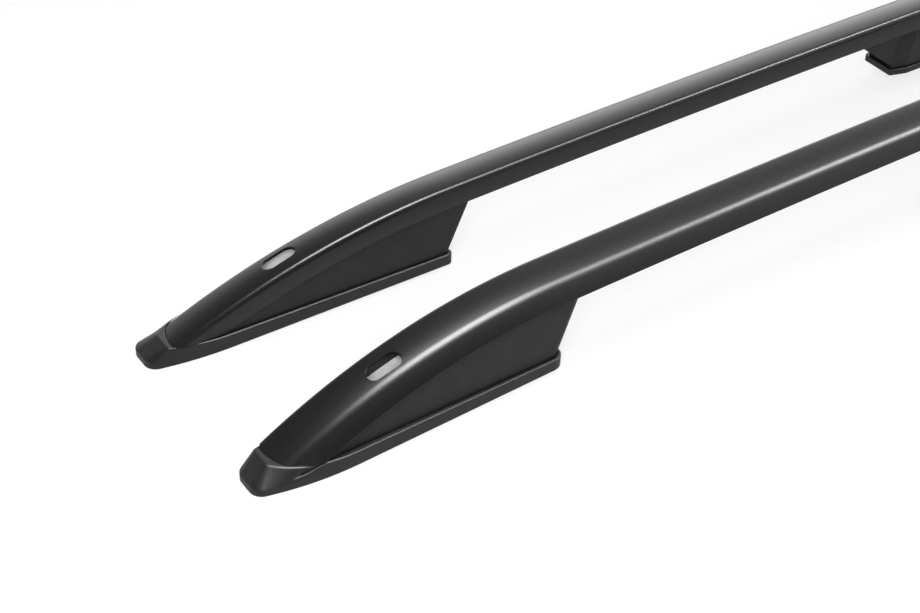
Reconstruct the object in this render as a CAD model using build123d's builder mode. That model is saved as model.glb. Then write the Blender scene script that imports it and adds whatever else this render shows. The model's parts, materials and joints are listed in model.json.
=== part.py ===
from build123d import *
import os
from math import asin, cos, degrees, radians, sin, tan

# Pair of roof side rails: bent hollow rails on moulded feet with rubber pads, right and left

# Overall size, millimetres and degrees
RAIL_LENGTH = 1690        # nose to nose, over the rubber
RAIL_SPACING = 171        # between the two rails' reference planes as they stand side by side
ROOF_RADIUS = 18700       # lengthwise arch of the rail between its end bends
ROOF_RISE = 19            # roof under the middle foot, above the floor that the noses stand on
LEAN_ANGLE = 7.0          # the rails' tops lean inboard

# Path of the rail's underside, measured in the leaning plane
CROWN_HEIGHT = 72.5       # underside above the floor at mid length
BEND_START = 276          # from the nose, where the roof arch turns into the end bend
BEND_RADIUS = 562
BEND_LIMIT = 31           # slope at which the bent tube is sawn off before trimming

# Rail section: x outboard, y up from the underside
FACE_OFFSET = 19.9        # inboard flat face
EDGE_OFFSET = 24.7        # outboard lower edge
RIDGE_HEIGHT = 22.0       # inboard ridge
SHOULDER_OFFSET = 12.8    # where the crowned top turns into the outboard flank
SHOULDER_HEIGHT = 14.1
TOP_CROWN = 1.8           # the top stands this far above a straight line from ridge to shoulder
RIDGE_FILLET = 4.5
SHOULDER_FILLET = 16
LOWER_FILLET = 0.8
RAIL_WALL = 2.5

# Rail ends and access slots
RAIL_END = 17             # sawn end of the rail, from the nose
SLOT_X = 123.5            # bolt axis, from the nose
SLOT_Y = -6.35            # bolt axis, outboard of the reference plane
SLOT_LENGTH = 30
SLOT_WIDTH = 14.5
BOLT_HOLE = 10            # clearance hole in the rail's lower wall

# Rubber end pad
PAD_LENGTH = 280
PAD_CLIMB = 0.0145        # the sole climbs towards the rear, as the roof does
NOSE_IN = 15              # half widths of the blunt front
NOSE_OUT = 14
CURVE_IN = 70             # where the straight sides start to curve in to the front
CURVE_OUT = 84
PAD_WIDE_IN = 24.6        # half widths there
PAD_WIDE_OUT = 24.4
PAD_REAR_IN = 28.5        # and at the rear end
PAD_REAR_OUT = 17.0
NOSE_FILLET = 11
REAR_FILLET_IN = 6
REAR_FILLET_OUT = 12
BAND_HEIGHT = 6           # upright band round the sole
CUP_FRONT = 16            # front of the cup's rim, from the nose
CUP_NOSE_IN = 17          # half widths of the cup's front
CUP_NOSE_OUT = 3
CUP_FILLET = 5
CUP_HEIGHT = 17.5         # rim at the cup's front
CUP_END = 68              # where the rim has fallen to the side walls
CUP_WALL = 2
RIM_HEIGHT = 14           # side walls above the floor
RIM_CHAMFER = 0.8
PAD_FLOOR = 3
PAD_LIP = 3
PAD_HOLE = 18

# End foot, a shell between the pad and the rail
FOOT_FRONT = 62
FOOT_TOP_IN_FRONT = 22.5  # top outline's inboard half widths, at FOOT_TOP
FOOT_TOP_IN_REAR = 27.2
FOOT_TOP_OUT = 11.3
FOOT_TOP = 75             # height of the top outline, trimmed by the rail
FOOT_RAKE = 31            # the rear face leans back this far over that height
FOOT_SETBACK = 10         # the rear face in from the pad's rear end, at the floor
FOOT_WALL = 3
FOOT_ROOF = 3.5
FOOT_FILLET_OUT = 12
FOOT_SKEW = 4             # the outboard rear corner stands this far behind the inboard one
FOOT_FILLET_IN = 3
SEAT_GAP = 0.2            # between pieces that seat on each other
FIT_GAP = 0.4             # round pieces that drop into a pocket

# Roof bolt bush in the end foot
BUSH_RADIUS = 7
BUSH_BORE = 4.5
BUSH_LENGTH = 20
TOWER_WALL = 3

# Screws that hold the end feet to the rail
SCREW_POSITIONS = (195, 248)
SCREW_RADIUS = 2
SCREW_HEAD_RADIUS = 4
SCREW_HEAD_HEIGHT = 2.8
SCREW_BOSS_RADIUS = 5.5
SCREW_GRIP = 14           # from the head's seat to the rail's underside
SCREW_REACH = 6           # past the underside, into the rail
SCREW_CLEARANCE = 0.25

# Middle foot
COLUMN_HALF = 33          # half length of the raised panel
COLUMN_BEVEL = 17         # length of the bevel beside it
COLUMN_STEP = 5           # the panel stands proud of the wings by this
COLUMN_IN = 19.0          # panel faces, from the leaning reference plane
COLUMN_OUT = 20.5
WING_HALF = 102           # half length under the rail
WING_LIP = 4              # upright end of the wing under the rail
PLINTH_HALF = 48          # half length at the base
PLINTH_HEIGHT = 5.5
MIDDLE_PAD_FLOOR = 3
MIDDLE_PAD_LIP = 2.5
MIDDLE_PAD_RIM = 3        # lip height above the pad's floor

# Middle foot fasteners
MIDDLE_BOLT_HALF = 22     # half the spacing of the two bolts
MIDDLE_BOLT_INSET = 4     # inboard of the leaning plane, under the highest part of the rail
MIDDLE_BOLT_RADIUS = 3
MIDDLE_BOLT_HEAD_RADIUS = 5
MIDDLE_BOLT_HEAD_HEIGHT = 6
MIDDLE_BOLT_SOCKET = 5    # across flats
MIDDLE_BOLT_GRIP = 18
NUT_PLATE_LENGTH = 64
NUT_PLATE_WIDTH = 20
NUT_PLATE_THICKNESS = 5
NUT_PLATE_FILLET = 3
INSERT_RADIUS = 6
INSERT_BORE = 3.4
INSERT_LENGTH = 16

SPACE = 90                # half width of the tools that trim pieces to the rail and the roof
SPACE_TOP = 200
UPWARD = 0.9              # a direction counts as along an axis from this share of it

HALF_LENGTH = RAIL_LENGTH / 2
RAIL_Y = RAIL_SPACING / 2
UP = Vector(0, -sin(radians(LEAN_ANGLE)), cos(radians(LEAN_ANGLE)))
OUTBOARD = Vector(0, cos(radians(LEAN_ANGLE)), sin(radians(LEAN_ANGLE)))

# Working planes of the right rail, all with x measured from the front nose
NOSE = Vector(-HALF_LENGTH, RAIL_Y, 0)
plan = Plane(NOSE, x_dir=(1, 0, 0), z_dir=(0, 0, 1))
side = Plane(NOSE, x_dir=(1, 0, 0), z_dir=(0, -1, 0))
lean = Plane(NOSE, x_dir=(1, 0, 0), z_dir=-OUTBOARD)

# The underside is a roof arch between two end bends, tangent to each other
ROOF_ANGLE = degrees(asin((HALF_LENGTH - BEND_START) / ROOF_RADIUS))
BEND_TOP = CROWN_HEIGHT - ROOF_RADIUS * (1 - cos(radians(ROOF_ANGLE)))
BEND_CENTRE_X = BEND_START + BEND_RADIUS * sin(radians(ROOF_ANGLE))
BEND_CENTRE_Z = BEND_TOP - BEND_RADIUS * cos(radians(ROOF_ANGLE))
BEND_ARC = BEND_LIMIT - ROOF_ANGLE


def underside_arcs(drop=0.0):
    """The three arcs of the rail's underside, lowered square to the rail by drop."""
    front = CenterArc((BEND_CENTRE_X, BEND_CENTRE_Z), BEND_RADIUS - drop, 90 + BEND_LIMIT, -BEND_ARC)
    roof_centre = (HALF_LENGTH, CROWN_HEIGHT - ROOF_RADIUS)
    roof = CenterArc(roof_centre, ROOF_RADIUS - drop, 90 + ROOF_ANGLE, -2 * ROOF_ANGLE)
    rear_centre = (RAIL_LENGTH - BEND_CENTRE_X, BEND_CENTRE_Z)
    rear = CenterArc(rear_centre, BEND_RADIUS - drop, 90 - ROOF_ANGLE, -BEND_ARC)
    return front, roof, rear


def underside_plane(x):
    """Plane on the end bend's underside: x along the rail, z square out of it, into the rail."""
    slope = asin((BEND_CENTRE_X - x) / BEND_RADIUS)
    height = BEND_CENTRE_Z + BEND_RADIUS * cos(slope)
    along = Vector(cos(slope), 0, 0) + UP * sin(slope)
    return Plane(lean.from_local_coords((x, height, 0)), x_dir=along, z_dir=along.cross(OUTBOARD))


def rail_section(growth=0.0):
    """Outline of the rail, grown all round for the pocket that takes it."""
    ridge = (-FACE_OFFSET, RIDGE_HEIGHT)
    shoulder = (SHOULDER_OFFSET, SHOULDER_HEIGHT)
    crown = ((ridge[0] + shoulder[0]) / 2, (ridge[1] + shoulder[1]) / 2 + TOP_CROWN)
    with BuildSketch() as section:
        with BuildLine():
            ThreePointArc(ridge, crown, shoulder)
            Polyline(shoulder, (EDGE_OFFSET, 0), (-FACE_OFFSET, 0), ridge)
        make_face()
        fillet(section.vertices().sort_by_distance(shoulder)[0], SHOULDER_FILLET)
        fillet(section.vertices().sort_by_distance(ridge)[0], RIDGE_FILLET)
        fillet(section.vertices().group_by(Axis.Y)[0], LOWER_FILLET)
        if growth:
            offset(amount=growth, kind=Kind.INTERSECTION)
    return section.sketch


def space_above(drop):
    """Everything above the rail's underside, lowered by drop."""
    with BuildPart() as space:
        with BuildSketch(lean):
            with BuildLine():
                front, _, rear = underside_arcs(drop)
                start, end = front @ 0, rear @ 1
                Polyline(start, (start.X, SPACE_TOP), (end.X, SPACE_TOP), end)
            make_face()
        extrude(amount=SPACE, both=True)
    return space.part


def space_below(level, climb=0.0):
    """Everything below a sole that is at level under the nose and climbs towards the rear."""
    far_end = RAIL_LENGTH + SPACE
    with BuildPart() as space:
        with BuildSketch(side):
            with BuildLine():
                Polyline(
                    (-SPACE, level - climb * SPACE),
                    (far_end, level + climb * far_end),
                    (far_end, -SPACE),
                    (-SPACE, -SPACE),
                    close=True,
                )
            make_face()
        extrude(amount=SPACE, both=True)
    return space.part


def pad_in(x, inset=0.0):
    """Straight inboard side of the end pad, y outboard."""
    return inset - PAD_WIDE_IN - (PAD_REAR_IN - PAD_WIDE_IN) * (x - CURVE_IN) / (PAD_LENGTH - CURVE_IN)


def pad_out(x, inset=0.0):
    """Straight outboard side of the end pad."""
    return PAD_WIDE_OUT - (PAD_WIDE_OUT - PAD_REAR_OUT) * (x - CURVE_OUT) / (PAD_LENGTH - CURVE_OUT) - inset


def pad_outline(front, nose_in, nose_out, radius, level=0.0, inset=0.0):
    """Plan outline of the end pad: straight sides that curve in to a blunt front."""
    with BuildSketch(plan.offset(level)) as outline:
        with BuildLine():
            inner = Line((PAD_LENGTH, pad_in(PAD_LENGTH)), (CURVE_IN, pad_in(CURVE_IN)))
            TangentArc(inner @ 1, (front, -nose_in), tangent=inner % 1)
            outer = Line((PAD_LENGTH, pad_out(PAD_LENGTH)), (CURVE_OUT, pad_out(CURVE_OUT)))
            TangentArc(outer @ 1, (front, nose_out), tangent=outer % 1)
            Line((front, -nose_in), (front, nose_out))
            Line(inner @ 0, outer @ 0)
        make_face()
        fillet(vertices().group_by(Axis.X)[0], radius)
        fillet(vertices().group_by(Axis.X)[-1].sort_by(Axis.Y)[0], REAR_FILLET_IN)
        fillet(vertices().group_by(Axis.X)[-1].sort_by(Axis.Y)[-1], REAR_FILLET_OUT)
        if inset:
            offset(amount=-inset)
    return outline.sketch


def below_rim(gap=0.0):
    """Everything below the end pad's rim, raised by gap: level side walls and a rise to the cup's front."""
    with BuildPart() as space:
        with BuildSketch(side):
            with BuildLine():
                rim = Line((PAD_LENGTH + PAD_LIP, RIM_HEIGHT + gap), (CUP_END, RIM_HEIGHT + gap))
                cup = TangentArc(rim @ 1, (CUP_FRONT, CUP_HEIGHT + gap), tangent=rim % 1)
                Polyline(
                    cup @ 1,
                    (-PAD_LIP, CUP_HEIGHT + gap),
                    (-PAD_LIP, -PAD_LIP),
                    (PAD_LENGTH + PAD_LIP, -PAD_LIP),
                    rim @ 0,
                )
            make_face()
        extrude(amount=SPACE, both=True)
    return space.part


def outside_cup(inset):
    """Everything beside the cup's inside and below its rim, to trim the rail's end to it."""
    with BuildPart() as space:
        with BuildSketch(plan):
            with Locations((CURVE_OUT, 0)):
                Rectangle(2 * SPACE, 2 * SPACE, align=(Align.MAX, Align.CENTER))
        extrude(amount=SPACE_TOP)
        with BuildSketch():
            add(pad_outline(0, NOSE_IN, NOSE_OUT, NOSE_FILLET, inset=inset))
        extrude(amount=SPACE_TOP, mode=Mode.SUBTRACT)
        add(below_rim(FIT_GAP), mode=Mode.INTERSECT)
    return space.part


def foot_outline(level, inset=0.0):
    """Plan outline of the end foot at a height, in by inset from its outer faces."""
    share = level / FOOT_TOP
    wall = PAD_LIP + FIT_GAP
    front = FOOT_FRONT + inset
    rear_in = PAD_LENGTH - FOOT_SETBACK + FOOT_RAKE * share - inset
    rear_out = rear_in + FOOT_SKEW
    inner_front = pad_in(front, wall) * (1 - share) - FOOT_TOP_IN_FRONT * share + inset
    inner_rear = pad_in(rear_in, wall) * (1 - share) - FOOT_TOP_IN_REAR * share + inset
    outer_front = pad_out(front, wall) * (1 - share) + FOOT_TOP_OUT * share - inset
    outer_rear = pad_out(rear_out, wall) * (1 - share) + FOOT_TOP_OUT * share - inset
    with BuildSketch(plan.offset(level)) as outline:
        with BuildLine():
            Polyline(
                (front, inner_front),
                (rear_in, inner_rear),
                (rear_out, outer_rear),
                (front, outer_front),
                close=True,
            )
        make_face()
        fillet(vertices().sort_by_distance((rear_out, outer_rear))[0], FOOT_FILLET_OUT)
        fillet(vertices().sort_by_distance((rear_in, inner_rear))[0], FOOT_FILLET_IN)
    return outline.sketch


def lean_shift(level):
    """How far the leaning plane lies outboard of its foot at a height."""
    return -level * tan(radians(LEAN_ANGLE))


def column_outline(half_length, growth=0.0):
    """Plan outline of the middle foot, cut off at a half length: a raised panel between bevels."""
    bevel_end = COLUMN_HALF + COLUMN_BEVEL
    with BuildSketch() as outline:
        with BuildLine():
            Polyline(
                (-bevel_end, COLUMN_STEP - COLUMN_IN),
                (-COLUMN_HALF, -COLUMN_IN),
                (COLUMN_HALF, -COLUMN_IN),
                (bevel_end, COLUMN_STEP - COLUMN_IN),
                (WING_HALF, COLUMN_STEP - COLUMN_IN),
                (WING_HALF, COLUMN_OUT - COLUMN_STEP),
                (bevel_end, COLUMN_OUT - COLUMN_STEP),
                (COLUMN_HALF, COLUMN_OUT),
                (-COLUMN_HALF, COLUMN_OUT),
                (-bevel_end, COLUMN_OUT - COLUMN_STEP),
                (-WING_HALF, COLUMN_OUT - COLUMN_STEP),
                (-WING_HALF, COLUMN_STEP - COLUMN_IN),
                close=True,
            )
        make_face()
        Rectangle(2 * half_length, SPACE, mode=Mode.INTERSECT)
        if growth:
            offset(amount=growth, kind=Kind.ARC)
    return outline.sketch


RAIL_SEAT = PAD_CLIMB * FOOT_FRONT + PAD_FLOOR + SEAT_GAP
SLOT_FLOOR = RIDGE_HEIGHT / 3  # the slot is cut down to this height above the underside, in the hollow
BUSH_SEAT = PAD_CLIMB * (SLOT_X + BUSH_RADIUS) + PAD_FLOOR + SEAT_GAP
crown_plane = Plane(lean.from_local_coords((HALF_LENGTH, CROWN_HEIGHT, 0)), x_dir=(1, 0, 0), z_dir=UP)
middle_plan = Plane(
    NOSE + Vector(HALF_LENGTH, lean_shift(ROOF_RISE), ROOF_RISE), x_dir=(1, 0, 0), z_dir=(0, 0, 1)
)
middle_bolt_points = [(-MIDDLE_BOLT_HALF, -MIDDLE_BOLT_INSET), (MIDDLE_BOLT_HALF, -MIDDLE_BOLT_INSET)]
insert_point = (0, (COLUMN_OUT - COLUMN_IN) / 2)

# Cuts at one end of the rail: cup trim, access slot, roof bolt hole and screw holes
with BuildPart() as end_cuts:
    with BuildSketch(plan):
        with Locations((SLOT_X, SLOT_Y)):
            SlotOverall(SLOT_LENGTH, SLOT_WIDTH)
    extrude(amount=SPACE_TOP)
    add(space_above(-SLOT_FLOOR), mode=Mode.INTERSECT)
    with BuildSketch(plan):
        with Locations((SLOT_X, SLOT_Y)):
            Circle(BOLT_HOLE / 2)
    extrude(amount=underside_plane(SLOT_X).origin.Z + SLOT_FLOOR)
    add(outside_cup(CUP_WALL + FIT_GAP))
    for position in SCREW_POSITIONS:
        with BuildSketch(underside_plane(position)):
            Circle(SCREW_RADIUS + SCREW_CLEARANCE)
        extrude(amount=SCREW_REACH, both=True)

# Rail: hollow section bent along the underside path, trimmed flat where it sits in the pads
with BuildPart() as rail:
    with BuildLine(lean) as rail_path:
        first_arc = underside_arcs()[0]
    with BuildSketch(Plane(first_arc @ 0, x_dir=OUTBOARD, z_dir=first_arc % 0)):
        add(rail_section())
        offset(amount=-RAIL_WALL, kind=Kind.INTERSECTION, mode=Mode.SUBTRACT)
    sweep(path=rail_path.wire())
    with BuildSketch(side):
        with BuildLine():
            Polyline(
                (RAIL_END, RAIL_SEAT),
                (RAIL_LENGTH - RAIL_END, RAIL_SEAT),
                (RAIL_LENGTH - RAIL_END, SPACE_TOP),
                (RAIL_END, SPACE_TOP),
                close=True,
            )
        make_face()
    extrude(amount=SPACE, both=True, mode=Mode.INTERSECT)
    add(end_cuts.part, mode=Mode.SUBTRACT)
    mirror(end_cuts.part, about=Plane.YZ, mode=Mode.SUBTRACT)
    with BuildSketch(crown_plane):
        with Locations(*middle_bolt_points):
            Circle(MIDDLE_BOLT_RADIUS + SCREW_CLEARANCE)
    extrude(amount=2 * RAIL_WALL, both=True, mode=Mode.SUBTRACT)

# Room that the rail's front end takes in the pad
with BuildPart() as rail_pocket:
    with BuildLine(lean) as pocket_path:
        CenterArc((BEND_CENTRE_X, BEND_CENTRE_Z), BEND_RADIUS, 90 + BEND_LIMIT, -BEND_ARC)
    with BuildSketch(Plane(pocket_path.line @ 0, x_dir=OUTBOARD, z_dir=pocket_path.line % 0)):
        add(rail_section(FIT_GAP))
    sweep(path=pocket_path.wire())
    with BuildSketch(side):
        with BuildLine():
            Polyline(
                (RAIL_END - FIT_GAP, RAIL_SEAT - SEAT_GAP),
                (BEND_START, RAIL_SEAT - SEAT_GAP),
                (BEND_START, SPACE_TOP),
                (RAIL_END - FIT_GAP, SPACE_TOP),
                close=True,
            )
        make_face()
    extrude(amount=SPACE, both=True, mode=Mode.INTERSECT)
    add(outside_cup(CUP_WALL), mode=Mode.SUBTRACT)

# Room that the end foot takes in the pad
with BuildPart() as foot_pocket:
    loft([foot_outline(0, -FIT_GAP), foot_outline(FOOT_TOP, -FIT_GAP)], ruled=True)
    add(space_below(PAD_FLOOR, PAD_CLIMB), mode=Mode.SUBTRACT)

# End pad: a rubber tray whose nose rises to a cup round the rail's end
with BuildPart() as end_pad:
    with BuildSketch():
        add(pad_outline(0, NOSE_IN, NOSE_OUT, NOSE_FILLET))
    extrude(amount=BAND_HEIGHT)
    loft(
        [
            pad_outline(0, NOSE_IN, NOSE_OUT, NOSE_FILLET, BAND_HEIGHT),
            pad_outline(CUP_FRONT, CUP_NOSE_IN, CUP_NOSE_OUT, CUP_FILLET, CUP_HEIGHT),
        ],
        ruled=True,
    )
    add(below_rim(), mode=Mode.INTERSECT)
    add(space_below(0, PAD_CLIMB), mode=Mode.SUBTRACT)
    rim_tops = faces().filter_by(lambda face: face.normal_at().Z > UPWARD)
    chamfer(rim_tops.edges().filter_by(lambda edge: abs((edge % 0.5).Y) < UPWARD), RIM_CHAMFER)
    add(foot_pocket.part, mode=Mode.SUBTRACT)
    add(rail_pocket.part, mode=Mode.SUBTRACT)
    with BuildSketch(plan):
        with Locations((SLOT_X, SLOT_Y)):
            Circle(PAD_HOLE / 2)
    extrude(amount=SPACE_TOP, mode=Mode.SUBTRACT)

# Hollow of the end foot, below its roof and clear of the bosses
with BuildPart() as foot_core:
    loft([foot_outline(0, FOOT_WALL), foot_outline(FOOT_TOP, FOOT_WALL)], ruled=True)
    add(space_above(SEAT_GAP + FOOT_ROOF), mode=Mode.SUBTRACT)
    with BuildSketch(plan):
        with Locations((SLOT_X, SLOT_Y)):
            Circle(BUSH_RADIUS + TOWER_WALL)
    extrude(amount=SPACE_TOP, mode=Mode.SUBTRACT)
    for position in SCREW_POSITIONS:
        with BuildSketch(underside_plane(position)):
            Circle(SCREW_BOSS_RADIUS)
        extrude(amount=-SCREW_GRIP, mode=Mode.SUBTRACT)

# End foot: tapered shell between the pad and the rail
with BuildPart() as end_foot:
    loft([foot_outline(0), foot_outline(FOOT_TOP)], ruled=True)
    add(space_above(SEAT_GAP), mode=Mode.SUBTRACT)
    add(foot_core.part, mode=Mode.SUBTRACT)
    add(space_below(PAD_FLOOR + SEAT_GAP, PAD_CLIMB), mode=Mode.SUBTRACT)
    with BuildSketch(plan):
        with Locations((SLOT_X, SLOT_Y)):
            Circle(BOLT_HOLE / 2)
    extrude(amount=SPACE_TOP, mode=Mode.SUBTRACT)
    with BuildSketch(plan):
        with Locations((SLOT_X, SLOT_Y)):
            Circle(BUSH_RADIUS + SEAT_GAP)
    extrude(amount=BUSH_SEAT + BUSH_LENGTH + SEAT_GAP, mode=Mode.SUBTRACT)
    for position in SCREW_POSITIONS:
        with BuildSketch(underside_plane(position)):
            Circle(SCREW_RADIUS + SCREW_CLEARANCE)
        extrude(amount=SCREW_GRIP, both=True, mode=Mode.SUBTRACT)

# Bush: steel spacer round the roof bolt
with BuildPart() as bush:
    with BuildSketch(plan.offset(BUSH_SEAT)):
        with Locations((SLOT_X, SLOT_Y)):
            Circle(BUSH_RADIUS)
            Circle(BUSH_BORE, mode=Mode.SUBTRACT)
    extrude(amount=BUSH_LENGTH)

# Screws of one rail: the front foot's pair, mirrored to the rear foot
with BuildPart() as foot_screws:
    for position in SCREW_POSITIONS:
        seat = underside_plane(position).offset(-SCREW_GRIP - SEAT_GAP)
        with BuildSketch(seat):
            Circle(SCREW_RADIUS)
        extrude(amount=SCREW_GRIP + SCREW_REACH)
        with BuildSketch(seat):
            Circle(SCREW_HEAD_RADIUS)
        extrude(amount=-SCREW_HEAD_HEIGHT)
    mirror(about=Plane.YZ)

# Middle foot: column with bevelled panel sides and a gusset wing each way
with BuildPart() as middle_foot:
    with BuildSketch(crown_plane):
        add(column_outline(WING_HALF))
    extrude(amount=SPACE, both=True)
    with BuildSketch(side):
        wing_tip = (CROWN_HEIGHT - WING_LIP) * cos(radians(LEAN_ANGLE))
        plinth_top = ROOF_RISE + MIDDLE_PAD_FLOOR + PLINTH_HEIGHT
        with BuildLine():
            Polyline(
                (HALF_LENGTH - WING_HALF, SPACE_TOP),
                (HALF_LENGTH - WING_HALF, wing_tip),
                (HALF_LENGTH - PLINTH_HALF, plinth_top),
                (HALF_LENGTH - PLINTH_HALF, 0),
                (HALF_LENGTH + PLINTH_HALF, 0),
                (HALF_LENGTH + PLINTH_HALF, plinth_top),
                (HALF_LENGTH + WING_HALF, wing_tip),
                (HALF_LENGTH + WING_HALF, SPACE_TOP),
                close=True,
            )
        make_face()
    extrude(amount=SPACE, both=True, mode=Mode.INTERSECT)
    add(space_above(SEAT_GAP), mode=Mode.SUBTRACT)
    add(space_below(ROOF_RISE + MIDDLE_PAD_FLOOR + SEAT_GAP), mode=Mode.SUBTRACT)
    with BuildSketch(crown_plane):
        with Locations(*middle_bolt_points):
            Circle(MIDDLE_BOLT_RADIUS + SCREW_CLEARANCE)
    extrude(amount=-SPACE, mode=Mode.SUBTRACT)
    with BuildSketch(crown_plane.offset(-MIDDLE_BOLT_GRIP)):
        with Locations(*middle_bolt_points):
            Circle(MIDDLE_BOLT_HEAD_RADIUS + FIT_GAP)
    extrude(amount=-SPACE, mode=Mode.SUBTRACT)
    with BuildSketch(middle_plan):
        with Locations(insert_point):
            Circle(INSERT_RADIUS + SEAT_GAP)
    extrude(amount=MIDDLE_PAD_FLOOR + 2 * SEAT_GAP + INSERT_LENGTH, mode=Mode.SUBTRACT)

# Room that the leaning plinth takes in the middle pad
with BuildPart() as plinth_pocket:
    with BuildSketch(crown_plane):
        add(column_outline(PLINTH_HALF, FIT_GAP))
    extrude(amount=-SPACE)
    add(space_below(ROOF_RISE + MIDDLE_PAD_FLOOR), mode=Mode.SUBTRACT)

# Middle pad: rubber tray round the middle foot's plinth
with BuildPart() as middle_pad:
    with BuildSketch(middle_plan):
        add(column_outline(PLINTH_HALF, MIDDLE_PAD_LIP + FIT_GAP))
    extrude(amount=MIDDLE_PAD_FLOOR + MIDDLE_PAD_RIM)
    add(plinth_pocket.part, mode=Mode.SUBTRACT)
    with BuildSketch(middle_plan):
        with Locations(insert_point):
            Circle(INSERT_RADIUS)
    extrude(amount=MIDDLE_PAD_FLOOR, mode=Mode.SUBTRACT)

# Insert: threaded bush for the roof stud
with BuildPart() as middle_insert:
    with BuildSketch(middle_plan.offset(MIDDLE_PAD_FLOOR + SEAT_GAP)):
        with Locations(insert_point):
            Circle(INSERT_RADIUS)
            Circle(INSERT_BORE, mode=Mode.SUBTRACT)
    extrude(amount=INSERT_LENGTH)

# Nut plate inside the rail, above the middle foot
with BuildPart() as middle_nut_plate:
    with BuildSketch(crown_plane.offset(RAIL_WALL + SEAT_GAP)):
        with Locations((0, -MIDDLE_BOLT_INSET)):
            RectangleRounded(NUT_PLATE_LENGTH, NUT_PLATE_WIDTH, NUT_PLATE_FILLET)
        with Locations(*middle_bolt_points):
            Circle(MIDDLE_BOLT_RADIUS + SCREW_CLEARANCE, mode=Mode.SUBTRACT)
    extrude(amount=NUT_PLATE_THICKNESS)

# Middle bolts: socket heads seated in the foot, shanks up through the nut plate
with BuildPart() as middle_bolts:
    bolt_seat = crown_plane.offset(-MIDDLE_BOLT_GRIP - SEAT_GAP)
    with BuildSketch(bolt_seat):
        with Locations(*middle_bolt_points):
            Circle(MIDDLE_BOLT_RADIUS)
    extrude(amount=MIDDLE_BOLT_GRIP + RAIL_WALL + NUT_PLATE_THICKNESS + 2 * SEAT_GAP)
    with BuildSketch(bolt_seat):
        with Locations(*middle_bolt_points):
            Circle(MIDDLE_BOLT_HEAD_RADIUS)
    extrude(amount=-MIDDLE_BOLT_HEAD_HEIGHT)
    with BuildSketch(bolt_seat.offset(-MIDDLE_BOLT_HEAD_HEIGHT)):
        with Locations(*middle_bolt_points):
            RegularPolygon(MIDDLE_BOLT_SOCKET / 2, 6, major_radius=False)
    extrude(amount=MIDDLE_BOLT_HEAD_HEIGHT / 2, mode=Mode.SUBTRACT)


def write(piece, node, mirrors):
    """Write one node, mirrored from the right rail's front piece."""
    for plane in mirrors:
        piece = mirror(piece, about=plane)
    piece.label = node
    export_step(piece, f"parts/{node}.step")


os.makedirs("parts", exist_ok=True)
end_pieces = {"foot": end_foot.part, "pad": end_pad.part, "bush": bush.part}
rail_pieces = {
    "rail": rail.part,
    "foot_screws": foot_screws.part,
    "middle_foot": middle_foot.part,
    "middle_pad": middle_pad.part,
    "middle_insert": middle_insert.part,
    "middle_nut_plate": middle_nut_plate.part,
    "middle_bolts": middle_bolts.part,
}
for hand, hand_mirror in (("right", []), ("left", [Plane.XZ])):
    for name, piece in rail_pieces.items():
        write(piece, f"{hand}_{name}", hand_mirror)
    for end, end_mirror in (("front", []), ("rear", [Plane.YZ])):
        for name, piece in end_pieces.items():
            write(piece, f"{hand}_{end}_{name}", hand_mirror + end_mirror)
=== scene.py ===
import json
from math import asin, atan2, cos, pi, radians, sin, sqrt

import bmesh
import bpy
from mathutils import Matrix, Vector


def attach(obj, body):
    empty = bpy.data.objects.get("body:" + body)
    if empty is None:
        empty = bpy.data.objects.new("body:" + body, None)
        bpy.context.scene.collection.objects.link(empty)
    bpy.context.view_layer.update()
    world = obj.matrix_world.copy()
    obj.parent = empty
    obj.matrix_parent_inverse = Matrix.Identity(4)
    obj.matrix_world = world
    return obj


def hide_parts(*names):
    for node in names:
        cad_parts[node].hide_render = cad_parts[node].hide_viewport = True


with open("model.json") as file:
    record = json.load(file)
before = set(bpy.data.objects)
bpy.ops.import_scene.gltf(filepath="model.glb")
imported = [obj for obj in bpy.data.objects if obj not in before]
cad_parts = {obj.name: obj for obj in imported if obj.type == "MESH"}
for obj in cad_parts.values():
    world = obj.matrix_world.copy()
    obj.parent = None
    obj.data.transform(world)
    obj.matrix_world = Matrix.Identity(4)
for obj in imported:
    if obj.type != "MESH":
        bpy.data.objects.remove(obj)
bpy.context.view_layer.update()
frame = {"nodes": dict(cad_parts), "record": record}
nodes = frame["nodes"]
scene = bpy.context.scene

# The photograph's frame and the camera fitted to it, in metres and radians
IMAGE_WIDTH = 920
FOCAL_PIXELS = 1892.291
SENSOR_WIDTH = 36.0        # millimetres
CAMERA_PLACE = Vector((-1.298927, -0.9944, 0.970269))
CAMERA_YAW = 0.956539
CAMERA_PITCH = 0.668964
CAMERA_ROLL = -0.033273
CLIP_START = 0.05
CLIP_END = 60

# The rail's path and section, as in the CAD source, in metres
HALF_LENGTH = 0.845
RAIL_Y = 0.0855
LEAN = radians(7)
CROWN_HEIGHT = 0.0725      # underside at mid length
ROOF_RADIUS = 18.7
BEND_START = 0.569         # from mid length
BEND_RADIUS = 0.562
FACE_OFFSET = 0.0199
EDGE_OFFSET = 0.0247
RIDGE_HEIGHT = 0.022
SHOULDER = Vector((0.0128, 0.0141))
TOP_CROWN = 0.0018
RIDGE_FILLET = 0.0045
SHOULDER_FILLET = 0.016
LOWER_FILLET = 0.0008
LEAST_FILLET = 0.0002      # at the corners of the hollow
RAIL_WALL = 0.0025
ROOF_ANGLE = asin(BEND_START / ROOF_RADIUS)
BEND_CENTRE_X = BEND_START - BEND_RADIUS * sin(ROOF_ANGLE)
BEND_CENTRE_Z = CROWN_HEIGHT - ROOF_RADIUS * (1 - cos(ROOF_ANGLE)) - BEND_RADIUS * cos(ROOF_ANGLE)

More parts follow.
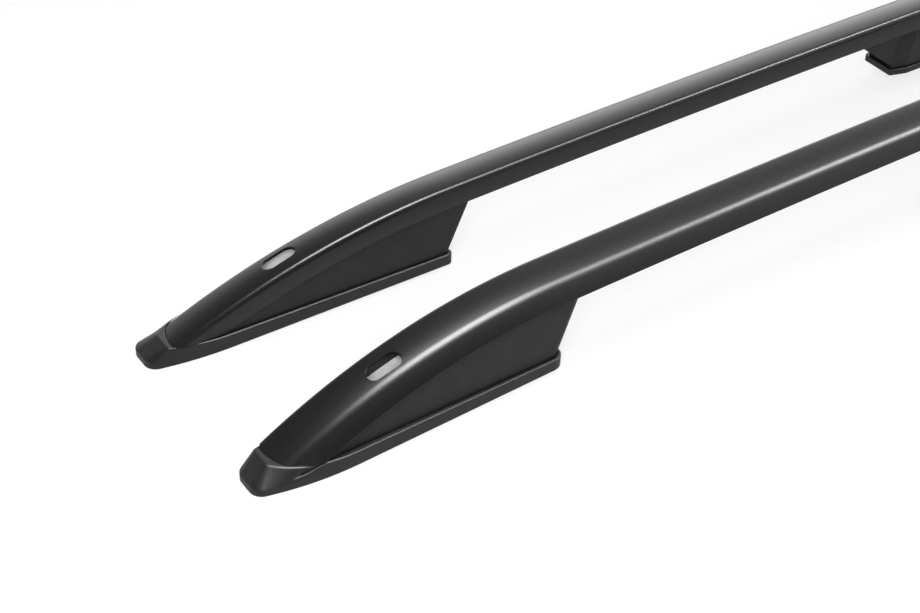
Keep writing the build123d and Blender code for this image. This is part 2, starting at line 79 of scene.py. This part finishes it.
# Slots and holes; places along the rail are measured from the nose
RAIL_END = 0.017
RAIL_SEAT = 0.0041         # height of the rail's end in the cup
SWEEP_END = RAIL_END / 2   # the sweep goes past the rail's end, which is then cut
SLOT_X = 0.1235
SLOT_Y = -0.00635          # from the rail's reference plane, outboard positive
SLOT_LENGTH = 0.030
SLOT_WIDTH = 0.0145
SLOT_FLOOR = 0.0465        # between the rail's lower and upper walls
BOLT_HOLE = 0.010
SCREW_POSITIONS = (0.195, 0.248)
SCREW_HOLE = 0.0045
MIDDLE_BOLT_HALF = 0.022   # half the spacing of the middle foot's bolts
MIDDLE_BOLT_INSET = 0.004  # inboard of the leaning plane
MIDDLE_BOLT_HOLE = 0.0065

# The rubber cup; on each side: where its curve starts, half width, taper and half width at the nose
CUP_END = 0.068
CUP_FRONT = 0.016
CUP_HEIGHT = 0.0175
RIM_HEIGHT = 0.014
CUP_IN = {"start": 0.070, "width": 0.0246, "taper": -0.0186, "tip": 0.015}
CUP_OUT = {"start": 0.084, "width": 0.0244, "taper": 0.0378, "tip": 0.014}
CUP_WALL = 0.0024
RIM_GAP = 0.0004
CUP_REACH = 0.095          # past the last of the rail that is below the rim
BLOCK = 0.1                # how far the end and cup cutters reach

# Fineness of the rail's mesh
RIDGE_STEPS = 12
TOP_STEPS = 20
SHOULDER_STEPS = 16
LOWER_STEPS = 4
BEND_STEPS = 64
ROOF_STEPS = 48
BORE_STEPS = 24
CUP_STEPS = 40
PAINTED_LIGHT_FACING = 0.7         # cosine, for the up-facing floor of the hollow that takes the painted pool of light
SHARP_ANGLE = radians(25)

# Materials, floor and lamps; a lamp has a name, place, width, depth and brightness of its face
EDGE_SAMPLES = 6
# samples of the ambient occlusion that paints shade into the specular level
PAINTED_SHADE_SAMPLES = 8
PLAIN_SPECULAR = 0.5
FLOOR_HALF = 12.0
FLOOR_GLOW = 0.25
FLOOR_GLOW_SEEN = 0.72     # to the camera
KEY = ("key", (0, 0, 1.9), 2.4, 1.4, 1.4)
FILL_PLACE = Vector((-1.6, -1.3, 1.35))
FILL_AIM = Vector((-0.4, 0, 0))
FILL = ("fill", FILL_PLACE, 1.0, 1.0, 13.0)
STRIPS = (
    ("strip_front", (-0.45, -0.32, 1.5), 0.8, 0.6, 30.0),
    ("strip_middle", (0.25, -0.28, 1.5), 0.6, 0.34, 12.0),
    ("strip_rear", (1.05, -0.28, 1.5), 1.0, 0.34, 28.0),
)


def add_camera():
    """Camera at the photograph's viewpoint."""
    forward = Vector((
        cos(CAMERA_PITCH) * cos(CAMERA_YAW),
        cos(CAMERA_PITCH) * sin(CAMERA_YAW),
        -sin(CAMERA_PITCH),
    ))
    level = Vector((sin(CAMERA_YAW), -cos(CAMERA_YAW), 0))
    plumb = forward.cross(level)
    right = cos(CAMERA_ROLL) * level + sin(CAMERA_ROLL) * plumb
    down = cos(CAMERA_ROLL) * plumb - sin(CAMERA_ROLL) * level
    data = bpy.data.cameras.new("camera")
    data.sensor_fit = "HORIZONTAL"
    data.sensor_width = SENSOR_WIDTH
    data.lens = FOCAL_PIXELS * SENSOR_WIDTH / IMAGE_WIDTH
    data.clip_start = CLIP_START
    data.clip_end = CLIP_END
    camera = bpy.data.objects.new("camera", data)
    turn = Matrix((right, -down, -forward)).transposed()
    camera.matrix_world = Matrix.Translation(CAMERA_PLACE) @ turn.to_4x4()
    scene.collection.objects.link(camera)
    scene.camera = camera


def new_material(name):
    """New node material, with its node tree and shader."""
    material = bpy.data.materials.new(name)
    material.use_nodes = True
    tree = material.node_tree
    return material, tree, tree.nodes["Principled BSDF"]


def join(tree, shader, sources):
    """Link each source to the shader's input of that name."""
    for socket, source in sources.items():
        tree.links.new(source, shader.inputs[socket])


def noise(tree, scale, detail, roughness=0.55):
    """Noise in the object's own coordinates, features of about 1/scale metres."""
    place = tree.nodes.new("ShaderNodeTexCoord")
    texture = tree.nodes.new("ShaderNodeTexNoise")
    texture.inputs["Scale"].default_value = scale
    texture.inputs["Detail"].default_value = detail
    texture.inputs["Roughness"].default_value = roughness
    tree.links.new(place.outputs["Object"], texture.inputs["Vector"])
    return texture.outputs["Fac"]


def spread(tree, source, low, high, start=0.3, end=0.7, curve="LINEAR"):
    """Map a number, which goes from start to end, to the range from low to high."""
    ramp = tree.nodes.new("ShaderNodeMapRange")
    ramp.interpolation_type = curve
    ramp.inputs["From Min"].default_value = start
    ramp.inputs["From Max"].default_value = end
    ramp.inputs["To Min"].default_value = low
    ramp.inputs["To Max"].default_value = high
    tree.links.new(source, ramp.inputs["Value"])
    return ramp.outputs["Result"]


def smooth(tree, source, start, end, low, high):
    """Map a number to another range, with soft ends."""
    return spread(tree, source, low, high, start, end, "SMOOTHSTEP")


def tones(tree, source, dark, light, start=0.3, end=0.7):
    """Map a noise to a range of colours."""
    ramp = tree.nodes.new("ShaderNodeValToRGB")
    ramp.color_ramp.elements[0].position = start
    ramp.color_ramp.elements[0].color = (*dark, 1)
    ramp.color_ramp.elements[1].position = end
    ramp.color_ramp.elements[1].color = (*light, 1)
    tree.links.new(source, ramp.inputs["Fac"])
    return ramp.outputs["Color"]


def bump(tree, source, strength, distance, below=None):
    """Bump from a noise, on top of another normal where one is given."""
    node = tree.nodes.new("ShaderNodeBump")
    node.inputs["Strength"].default_value = strength
    node.inputs["Distance"].default_value = distance
    tree.links.new(source, node.inputs["Height"])
    if below:
        tree.links.new(below, node.inputs["Normal"])
    return node.outputs["Normal"]


def soft_edge(tree, radius):
    """Normal that rounds the mesh's sharp edges."""
    node = tree.nodes.new("ShaderNodeBevel")
    node.samples = EDGE_SAMPLES
    node.inputs["Radius"].default_value = radius
    return node.outputs["Normal"]


def painted_shade_specular(tree, distance, closed=0.25, clear=0.75):
    """Specular level lowered by ambient occlusion where surfaces nearly touch: painted shade in the
    gaps between mouldings and under overhangs.
    """
    node = tree.nodes.new("ShaderNodeAmbientOcclusion")
    node.samples = PAINTED_SHADE_SAMPLES
    node.inputs["Distance"].default_value = distance
    return spread(tree, node.outputs["AO"], 0.0, PLAIN_SPECULAR, closed, clear)


def coat_material():
    """Satin black powder coat: fine grain over a slow orange peel."""
    material, tree, shader = new_material("rail_coat")
    grain = noise(tree, scale=2600, detail=2.0)
    peel = noise(tree, scale=420, detail=2.0)
    slow = bump(tree, peel, strength=0.06, distance=0.0002)
    join(tree, shader, {
        "Base Color": tones(tree, grain, dark=(0.005, 0.005, 0.0053), light=(0.009, 0.009, 0.0095)),
        "Roughness": spread(tree, grain, low=0.27, high=0.34),
        "Normal": bump(tree, grain, strength=0.10, distance=0.00006, below=slow),
    })
    return material


def bare_painted_light_material():
    """Bare extruded aluminium of the rail's inside, made near white as a painted pool of the light
    that falls through the slot onto the hollow's floor.
    """
    material, tree, shader = new_material("rail_bare_painted_light")
    streak = noise(tree, scale=300, detail=4.0)
    shader.inputs["Metallic"].default_value = 0.1
    join(tree, shader, {
        "Base Color": tones(tree, streak, dark=(0.86, 0.87, 0.88), light=(0.94, 0.95, 0.96)),
        "Roughness": spread(tree, streak, low=0.45, high=0.6),
    })
    return material


def foot_material():
    """Moulded black plastic with a fine spark texture and softened edges."""
    material, tree, shader = new_material("foot_plastic")
    grain = noise(tree, scale=1700, detail=3.0)
    patch = noise(tree, scale=60, detail=3.0)
    colour = tones(tree, patch, dark=(0.0085, 0.0085, 0.009), light=(0.0135, 0.0135, 0.014))
    edge = soft_edge(tree, radius=0.0009)
    join(tree, shader, {
        "Base Color": colour,
        "Roughness": spread(tree, grain, low=0.42, high=0.54),
        "Normal": bump(tree, grain, strength=0.22, distance=0.0001, below=edge),
        # painted shade: the specular falls in a band under the rail's overhang and at the joints
        "Specular IOR Level": painted_shade_specular(tree, distance=0.016, closed=0.5, clear=0.92),
    })
    return material


def pad_material():
    """Matte black rubber with softened edges."""
    material, tree, shader = new_material("pad_rubber")
    grain = noise(tree, scale=1300, detail=4.0)
    dust = noise(tree, scale=90, detail=5.0, roughness=0.65)
    edge = soft_edge(tree, radius=0.0016)
    join(tree, shader, {
        "Base Color": tones(tree, dust, dark=(0.0095, 0.0095, 0.010), light=(0.016, 0.016, 0.0165)),
        "Roughness": spread(tree, grain, low=0.32, high=0.44),
        "Normal": bump(tree, grain, strength=0.22, distance=0.0001, below=edge),
        # painted shade: the specular falls in the narrow gaps around the pad
        "Specular IOR Level": painted_shade_specular(tree, distance=0.003),
    })
    return material


def fastener_material():
    """Zinc-plated steel."""
    material, tree, shader = new_material("fastener_zinc")
    grain = noise(tree, scale=900, detail=4.0)
    shader.inputs["Metallic"].default_value = 1.0
    join(tree, shader, {
        "Base Color": tones(tree, grain, dark=(0.5, 0.51, 0.53), light=(0.62, 0.63, 0.65)),
        "Roughness": spread(tree, grain, low=0.28, high=0.42),
        "Normal": bump(tree, grain, strength=0.08, distance=0.00005),
    })
    return material


def dress(node, material):
    """Give a CAD node its material."""
    mesh = nodes[node].data
    mesh.materials.clear()
    mesh.materials.append(material)


def arc(centre, radius, start, end, steps):
    """Points on an arc between two directions."""
    first = atan2(start.y, start.x)
    sweep = (atan2(end.y, end.x) - first + pi) % (2 * pi) - pi
    turns = [first + sweep * step / steps for step in range(steps + 1)]
    return [centre + radius * Vector((cos(turn), sin(turn))) for turn in turns]


def along(line_start, direction, centre, radius):
    """Point on a line, nearest its start, at a distance from a centre."""
    offset = line_start - centre
    middle = offset.dot(direction)
    root = sqrt(middle * middle - offset.length_squared + radius * radius)
    return line_start + direction * min(-middle - root, -middle + root, key=abs)


def top_circle():
    """Centre and radius of the crowned top, through the ridge, the crown and the shoulder."""
    ridge = Vector((-FACE_OFFSET, RIDGE_HEIGHT))
    crown = (ridge + SHOULDER) / 2 + Vector((0, TOP_CROWN))
    a, b = crown - ridge, SHOULDER - ridge
    scale = 2 * (a.x * b.y - a.y * b.x)
    centre = ridge + Vector((
        b.y * a.length_squared - a.y * b.length_squared,
        a.x * b.length_squared - b.x * a.length_squared,
    )) / scale
    return centre, (ridge - centre).length


def section(inset):
    """Outline of the rail, in by inset: x outboard, y up from the underside."""
    top, top_radius = top_circle()
    flank = (Vector((EDGE_OFFSET, 0)) - SHOULDER).normalized()
    inward = Vector((flank.y, -flank.x))
    fillets = (RIDGE_FILLET, SHOULDER_FILLET, LOWER_FILLET)
    ridge, shoulder, lower = (max(fillet - inset, LEAST_FILLET) for fillet in fillets)
    reach = top_radius - inset
    face = inset - FACE_OFFSET
    upright = Vector((0, 1))
    inboard = Vector((-1, 0))
    ridge_centre = along(Vector((face + ridge, RIDGE_HEIGHT)), upright, top, reach - ridge)
    shoulder_centre = along(SHOULDER + inward * (inset + shoulder), flank, top, reach - shoulder)
    low_start = SHOULDER + inward * (inset + lower)
    outer_centre = low_start + flank * ((inset + lower - low_start.y) / flank.y)
    inner_centre = Vector((face + lower, inset + lower))
    to_ridge = ridge_centre - top
    to_shoulder = shoulder_centre - top
    points = arc(ridge_centre, ridge, inboard, to_ridge, RIDGE_STEPS)
    points += arc(top, reach, to_ridge, to_shoulder, TOP_STEPS)[1:]
    points += arc(shoulder_centre, shoulder, to_shoulder, -inward, SHOULDER_STEPS)[1:]
    points += arc(outer_centre, lower, -inward, -upright, LOWER_STEPS)
    points += arc(inner_centre, lower, -upright, inboard, LOWER_STEPS)
    return points


def rail_point(x, point, hand):
    """World place of a section point at a station along the rail."""
    reach = abs(x)
    if reach < BEND_START:
        slope = asin(reach / ROOF_RADIUS)
        height = CROWN_HEIGHT - ROOF_RADIUS * (1 - cos(slope))
    else:
        slope = asin((reach - BEND_CENTRE_X) / BEND_RADIUS)
        height = BEND_CENTRE_Z + BEND_RADIUS * cos(slope)
    height += point.y * cos(slope)
    reach += point.y * sin(slope)
    outboard = point.x * cos(LEAN) - height * sin(LEAN)
    upward = height * cos(LEAN) + point.x * sin(LEAN)
    return Vector((reach if x > 0 else -reach, hand * (RAIL_Y + outboard), upward))


def stations():
    """Places along the rail, close together in the end bends."""
    tip = HALF_LENGTH - SWEEP_END
    bend = [BEND_START + (tip - BEND_START) * step / BEND_STEPS for step in range(BEND_STEPS + 1)]
    roof = [BEND_START * (2 * step / ROOF_STEPS - 1) for step in range(1, ROOF_STEPS)]
    return [-x for x in reversed(bend)] + roof + bend


def skin(bm, rings):
    """Faces over a row of rings of points; gives the first and the last ring."""
    rows = [[bm.verts.new(point) for point in ring] for ring in rings]
    for back, front in zip(rows, rows[1:]):
        for i in range(len(back)):
            bm.faces.new((back[i - 1], back[i], front[i], front[i - 1]))
    return rows[0], rows[-1]


def loft(bm, rings):
    """Closed solid over a row of rings of points."""
    for cap in skin(bm, rings):
        bm.faces.new(cap)


def upright_cutter(bm, x, y, length, width, low, high):
    """Cutter for an upright round-ended slot, or a round hole where length equals width."""
    half = (length - width) / 2
    turns = [pi * step / BORE_STEPS - pi / 2 for step in range(BORE_STEPS + 1)]
    if half == 0:
        turns.pop()
    end = [Vector((half + width / 2 * cos(turn), width / 2 * sin(turn))) for turn in turns]
    outline = end + [-point for point in end]
    loft(bm, [[(x + point.x, y + point.y, height) for point in outline] for height in (low, high)])


def bore_cutter(bm, x, outboard, width, hand):
    """Cutter for a round hole, square through the rail's lower wall."""
    turns = [2 * pi * step / BORE_STEPS for step in range(BORE_STEPS)]
    edge = [(x + width / 2 * cos(turn), outboard + width / 2 * sin(turn)) for turn in turns]
    rings = []
    for height in (-RAIL_WALL, 2 * RAIL_WALL):
        rings.append([rail_point(place, Vector((across, height)), hand) for place, across in edge])
    loft(bm, rings)


def end_cutter(bm, end, hand):
    """Cutter for what is past the rail's end or below its seat in the cup."""
    past = HALF_LENGTH - RAIL_END
    outline = (
        (past - BLOCK, -BLOCK), (past - BLOCK, RAIL_SEAT), (past, RAIL_SEAT),
        (past, BLOCK), (past + BLOCK, BLOCK), (past + BLOCK, -BLOCK),
    )
    sides = (hand * RAIL_Y - BLOCK, hand * RAIL_Y + BLOCK)
    loft(bm, [[(end * x, side, z) for x, z in outline] for side in sides])


def rim_height(nose):
    """Height of the pad's rim, which rises to the cup's front."""
    rise = max(CUP_END - nose, 0) / (CUP_END - CUP_FRONT)
    return RIM_HEIGHT + (CUP_HEIGHT - RIM_HEIGHT) * rise * rise


def cup_inside(nose, start, width, taper, tip):
    """Half width inside the cup at a distance from the nose."""
    forward = max(start - nose, 0)
    bend = (width + taper * start - tip) / start ** 2
    return width + taper * forward - bend * forward ** 2 - CUP_WALL


def cup_cutter(bm, end, hand, side, shape):
    """Cutter for what is outside the cup's wall on one side, below its rim."""
    far = hand * (RAIL_Y + side * BLOCK)
    rings = []
    for step in range(CUP_STEPS + 1):
        nose = SWEEP_END + (CUP_REACH - SWEEP_END) * step / CUP_STEPS
        x = end * (HALF_LENGTH - nose)
        wall = hand * (RAIL_Y + side * cup_inside(nose, **shape))
        top = rim_height(nose) + RIM_GAP
        rings.append([(x, wall, -BLOCK), (x, wall, top), (x, far, top), (x, far, -BLOCK)])
    loft(bm, rings)


def to_object(bm, name):
    """Mesh object of a bmesh, its faces turned outward."""
    bmesh.ops.recalc_face_normals(bm, faces=bm.faces)
    if bm.calc_volume(signed=True) < 0:
        bmesh.ops.reverse_faces(bm, faces=bm.faces)
    mesh = bpy.data.meshes.new(name)
    bm.to_mesh(mesh)
    bm.free()
    made = bpy.data.objects.new(name, mesh)
    scene.collection.objects.link(made)
    return made


def sweep_rail(hand):
    """Hollow tube along the rail's path, past its ends."""
    bm = bmesh.new()
    skins = []
    for inset in (0, RAIL_WALL):
        outline = section(inset)
        rings = [[rail_point(x, point, hand) for point in outline] for x in stations()]
        skins.append(skin(bm, rings))
    for outer, inner in zip(*skins):
        for i in range(len(outer)):
            bm.faces.new((outer[i - 1], outer[i], inner[i], inner[i - 1]))
    return to_object(bm, "swept")


def rail_cutters(hand):
    """Cutters of the rail, in groups that don't overlap: holes, ends and the cups' sides."""
    holes, ends, cups = bmesh.new(), bmesh.new(), bmesh.new()
    slot_y = hand * (RAIL_Y + SLOT_Y)
    slot_top = 2 * SLOT_FLOOR
    bolt_low, bolt_high = SLOT_FLOOR / 2, SLOT_FLOOR - RIM_GAP
    for end in (-1, 1):
        x = end * (HALF_LENGTH - SLOT_X)
        upright_cutter(holes, x, slot_y, SLOT_LENGTH, SLOT_WIDTH, SLOT_FLOOR, slot_top)
        upright_cutter(holes, x, slot_y, BOLT_HOLE, BOLT_HOLE, bolt_low, bolt_high)
        for position in SCREW_POSITIONS:
            bore_cutter(holes, end * (HALF_LENGTH - position), 0, SCREW_HOLE, hand)
        bore_cutter(holes, end * MIDDLE_BOLT_HALF, -MIDDLE_BOLT_INSET, MIDDLE_BOLT_HOLE, hand)
        end_cutter(ends, end, hand)
        cup_cutter(cups, end, hand, 1, CUP_OUT)
        cup_cutter(cups, end, hand, -1, CUP_IN)
    return [to_object(group, "cutter") for group in (holes, ends, cups)]


def cut_rail(hand):
    """Mesh of the swept rail, with its holes and trimmed ends."""
    swept = sweep_rail(hand)
    cutters = rail_cutters(hand)
    for cutter in cutters:
        cut = swept.modifiers.new("cut", "BOOLEAN")
        cut.operation = "DIFFERENCE"
        cut.solver = "EXACT"
        cut.object = cutter
    finished = swept.evaluated_get(bpy.context.evaluated_depsgraph_get())
    mesh = bpy.data.meshes.new_from_object(finished)
    for spent in (swept, *cutters):
        bpy.data.objects.remove(spent)
    return mesh


def add_rail(side, hand, coat, bare_painted_light):
    """Smooth rail in place of the faceted CAD rail; the up-facing floor of its hollow gets bare
    metal made near white, a painted pool of the light through the slot, and its walls in shade keep
    the coat.
    """
    mesh = cut_rail(hand)
    rail = bpy.data.objects.new(f"fine_{side}_rail", mesh)
    scene.collection.objects.link(rail)
    mesh.materials.clear()
    mesh.materials.append(coat)
    mesh.materials.append(bare_painted_light)
    upward = Vector((0, -hand * sin(LEAN), cos(LEAN)))
    for face in mesh.polygons:
        face.use_smooth = True
        middle = rail_point(face.center.x, Vector((0, RIDGE_HEIGHT / 2)), hand)
        # painted light: the hollow's up-facing floor, where light falls through the slot, takes the
        # near-white bare metal
        floor = face.normal.dot(upward) > PAINTED_LIGHT_FACING and face.center.z < middle.z
        face.material_index = 1 if floor else 0
    mesh.set_sharp_from_angle(angle=SHARP_ANGLE)
    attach(rail, "root")
    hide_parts(f"{side}_rail")


def add_floor():
    """Pale floor with a soft shadow, white to the camera and dimmer to reflections."""
    mesh = bpy.data.meshes.new("floor")
    turns = ((-1, -1), (1, -1), (1, 1), (-1, 1))
    corners = [(x * FLOOR_HALF, y * FLOOR_HALF, 0) for x, y in turns]
    mesh.from_pydata(corners, [], [(0, 1, 2, 3)])
    floor = bpy.data.objects.new("floor", mesh)
    scene.collection.objects.link(floor)
    material, tree, shader = new_material("floor_white")
    grain = noise(tree, scale=40, detail=3.0)
    ray = tree.nodes.new("ShaderNodeLightPath")
    seen = ray.outputs["Is Camera Ray"]
    shader.inputs["Roughness"].default_value = 0.9
    shader.inputs["Specular IOR Level"].default_value = 0.0
    shader.inputs["Emission Color"].default_value = (1, 1, 1, 1)
    join(tree, shader, {
        "Base Color": tones(tree, grain, dark=(0.30, 0.30, 0.30), light=(0.31, 0.31, 0.31)),
        "Emission Strength": spread(tree, seen, FLOOR_GLOW, FLOOR_GLOW_SEEN, start=0.0, end=1.0),
    })
    mesh.materials.append(material)


def combine(tree, operation, first, second):
    """Result of an operation on two numbers."""
    node = tree.nodes.new("ShaderNodeMath")
    node.operation = operation
    tree.links.new(first, node.inputs[0])
    tree.links.new(second, node.inputs[1])
    return node.outputs["Value"]


def blend(tree, share, low, high):
    """Mix of two numbers by a share."""
    node = tree.nodes.new("ShaderNodeMix")
    for source, socket in ((share, "Factor"), (low, "A"), (high, "B")):
        tree.links.new(source, node.inputs[socket])
    return node.outputs["Result"]


def add_world():
    """Studio surround, white to the camera: bright far wall, dim ceiling, dark near side."""
    world = bpy.data.worlds.new("surround")
    scene.world = world
    world.use_nodes = True
    tree = world.node_tree
    place = tree.nodes.new("ShaderNodeTexCoord")
    split = tree.nodes.new("ShaderNodeSeparateXYZ")
    tree.links.new(place.outputs["Generated"], split.inputs["Vector"])
    x, y, z = (split.outputs[axis] for axis in "XYZ")
    wall = smooth(tree, z, start=0.16, end=0.62, low=3.0, high=0.42)
    front = smooth(tree, x, start=-0.1, end=0.6, low=0.35, high=1.0)
    far = combine(tree, "MULTIPLY", wall, front)
    low = smooth(tree, z, start=0.10, end=0.40, low=0.45, high=0.05)
    rear = smooth(tree, x, start=0.3, end=0.8, low=0.0, high=0.9)
    near = combine(tree, "ADD", low, rear)
    side = smooth(tree, y, start=-0.1, end=0.3, low=0.0, high=1.0)
    studio = blend(tree, side, near, far)
    ray = tree.nodes.new("ShaderNodeLightPath")
    white = combine(tree, "MAXIMUM", studio, ray.outputs["Is Camera Ray"])
    back = tree.nodes["Background"]
    back.inputs["Color"].default_value = (1, 1, 1, 1)
    tree.links.new(white, back.inputs["Strength"])


def add_light(name, place, width, depth, radiance):
    """Rectangular soft light that shines down, given by how bright its face is."""
    data = bpy.data.lights.new(name, "AREA")
    data.shape = "RECTANGLE"
    data.size = width
    data.size_y = depth
    data.energy = radiance * width * depth * pi
    light = bpy.data.objects.new(name, data)
    light.location = place
    scene.collection.objects.link(light)
    return light


def add_lights():
    """Key and fill for the diffuse colours, strips for the sheen."""
    key = add_light(*KEY)
    fill = add_light(*FILL)
    fill.rotation_mode = "QUATERNION"
    fill.rotation_quaternion = (FILL_AIM - FILL_PLACE).to_track_quat("-Z", "Y")
    for soft in (key, fill):
        soft.visible_glossy = False
    for strip in STRIPS:
        add_light(*strip).visible_diffuse = False


rail_coat = coat_material()
rail_bare_painted_light = bare_painted_light_material()
looks = {
    "rail_coat": rail_coat,
    "foot": foot_material(),
    "pad": pad_material(),
    "fastener": fastener_material(),
}
for subpart in frame["record"]["subparts"]:
    dress(subpart["node"], looks[subpart["material_slot"]])
for rail_side, rail_hand in (("right", 1), ("left", -1)):
    add_rail(rail_side, rail_hand, rail_coat, rail_bare_painted_light)

add_camera()
add_floor()
add_world()
add_lights()

scene.view_settings.view_transform = "Standard"
